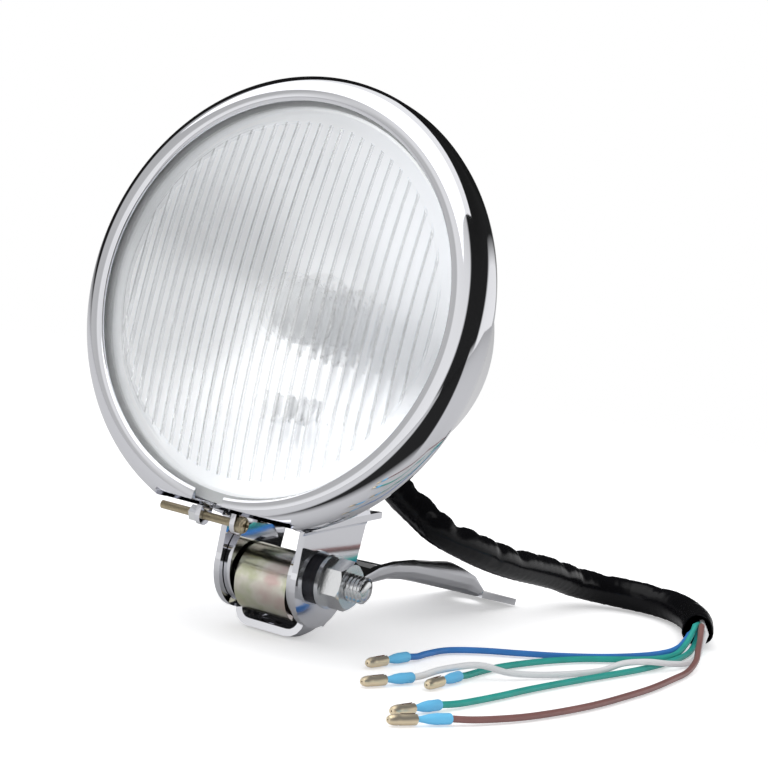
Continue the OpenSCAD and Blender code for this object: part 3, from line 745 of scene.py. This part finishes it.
def makeFloor(spec):
    bpy.ops.object.select_all(action="DESELECT")
    bpy.ops.mesh.primitive_plane_add(size=spec["floorSize"], location=(0, 0, -0.0004))
    floor = bpy.context.object
    floor.name = "studioFloor"
    finish = Finish("paperFloor")
    glow = finish.add("Emission", Color=(1, 1, 1, 1), Strength=spec["floorGlow"])
    paper = finish.add("BsdfDiffuse", Color=(*spec["floorColour"], 1))
    shade = finish.add("BsdfDiffuse", Color=(0.02, 0.02, 0.02, 1))
    rays = finish.add("LightPath")
    eye = Val(finish.tree, rays.outputs["Is Camera Ray"])
    gloss = Val(finish.tree, rays.outputs["Is Glossy Ray"])
    lit = finish.add("AddShader", i0=glow.outputs[0], i1=paper.outputs[0])
    mix = finish.add("MixShader", Fac=eye + Val(finish.tree, rays.outputs["Is Transmission Ray"]),
                     i1=paper.outputs[0], i2=lit.outputs[0])
    spot = finish.add("SeparateXYZ", Vector=finish.place())
    x, y = (Val(finish.tree, spot.outputs[k]) for k in range(2))
    far = (x * x + y * y + 0.000001) ** 0.5
    gap = inSlab(finish, (x - 0.02) / far, (y + 0.1) / far, spec["darkSlab"])
    gap = gap * finish.clamp((far - 0.16) * 20)
    mirrored = finish.add("MixShader", Fac=gloss * (gap * (1 - spec["floorDim"]) + spec["floorDim"]),
                          i1=mix.outputs[0], i2=shade.outputs[0])
    fade = finish.clamp((far - spec["floorNear"]) / (spec["floorFar"] - spec["floorNear"]))
    clear = finish.add("BsdfTransparent")
    gone = finish.add("MixShader", Fac=fade * eye, i1=mirrored.outputs[0], i2=clear.outputs[0])
    finish.tree.links.new(gone.outputs[0], finish.out.inputs["Surface"])
    floor.data.materials.append(finish.material)


def makeWorld(spec):
    world = bpy.data.worlds.new("studioWorld")
    bpy.context.scene.world = world
    world.use_nodes = True
    make = Finish.__new__(Finish)
    tree = make.tree = world.node_tree
    tree.nodes.clear()
    out = tree.nodes.new("ShaderNodeOutputWorld")
    way = make.add("SeparateXYZ", Vector=tree.nodes.new("ShaderNodeTexCoord").outputs["Generated"])
    x, y, z = (Val(tree, way.outputs[k]) for k in range(3))
    level = (x * x + y * y + 0.0001) ** 0.5
    grey = make.add("ValToRGB", {"stops": [(p, (v, v, v, 1)) for p, v in spec["ceiling"]]}, Fac=z)
    shade = Val(tree, grey.outputs["Color"])
    for azimuth, half, low, high, dark in spec["bands"]:
        a = math.radians(azimuth)
        facing = (x * math.sin(a) - y * math.cos(a)) / level
        edge = math.cos(math.radians(half))
        inside = make.clamp((facing - edge) * (4 / (1 - edge)) + 0.5)
        inside = inside * make.clamp((z - low) * 8 + 0.5) * make.clamp((high - z) * 8 + 0.5)
        shade = shade * (1 - inside * (1 - dark))
    slab = inSlab(make, x, y, spec["darkSlab"]) * make.clamp((0.1 - z) * 10)
    u, v, w = spec["darkArch"]["across"]
    arch = make.clamp((spec["darkArch"]["half"] - make.size(x * u + y * v + z * w)) * 12 + 0.5)
    arch = arch * make.clamp(z * 10 + 0.5)
    shade = shade * (1 - make.clamp(slab + arch) * (1 - spec["darkSlab"]["shade"]))
    mirrored = make.add("Background", Color=shade)
    soft = make.add("Background", Color=(1, 1, 1, 1), Strength=spec["worldLevel"])
    seen = make.add("Background", Color=(1, 1, 1, 1))
    rays = make.add("LightPath")
    plain = Val(tree, rays.outputs["Is Camera Ray"]) + Val(tree, rays.outputs["Is Transmission Ray"])
    inner = make.add("MixShader", Fac=rays.outputs["Is Glossy Ray"], i1=soft.outputs[0],
                     i2=mirrored.outputs[0])
    mix = make.add("MixShader", Fac=plain, i1=inner.outputs[0], i2=seen.outputs[0])
    tree.links.new(mix.outputs[0], out.inputs["Surface"])


def makeLight(name, spec):
    bpy.ops.object.light_add(type="AREA", location=spec["place"])
    light = bpy.context.object
    light.name = name
    light.data.shape = "RECTANGLE"
    light.data.size, light.data.size_y = spec["size"]
    light.data.energy = spec["power"]
    light.rotation_mode = "QUATERNION"
    light.rotation_quaternion = (Vector(spec["aim"]) - Vector(spec["place"])).to_track_quat("-Z", "Y")


makeFloor(studio)
makeWorld(studio)
makeLight("softTop", softTop)
print("studio lit")
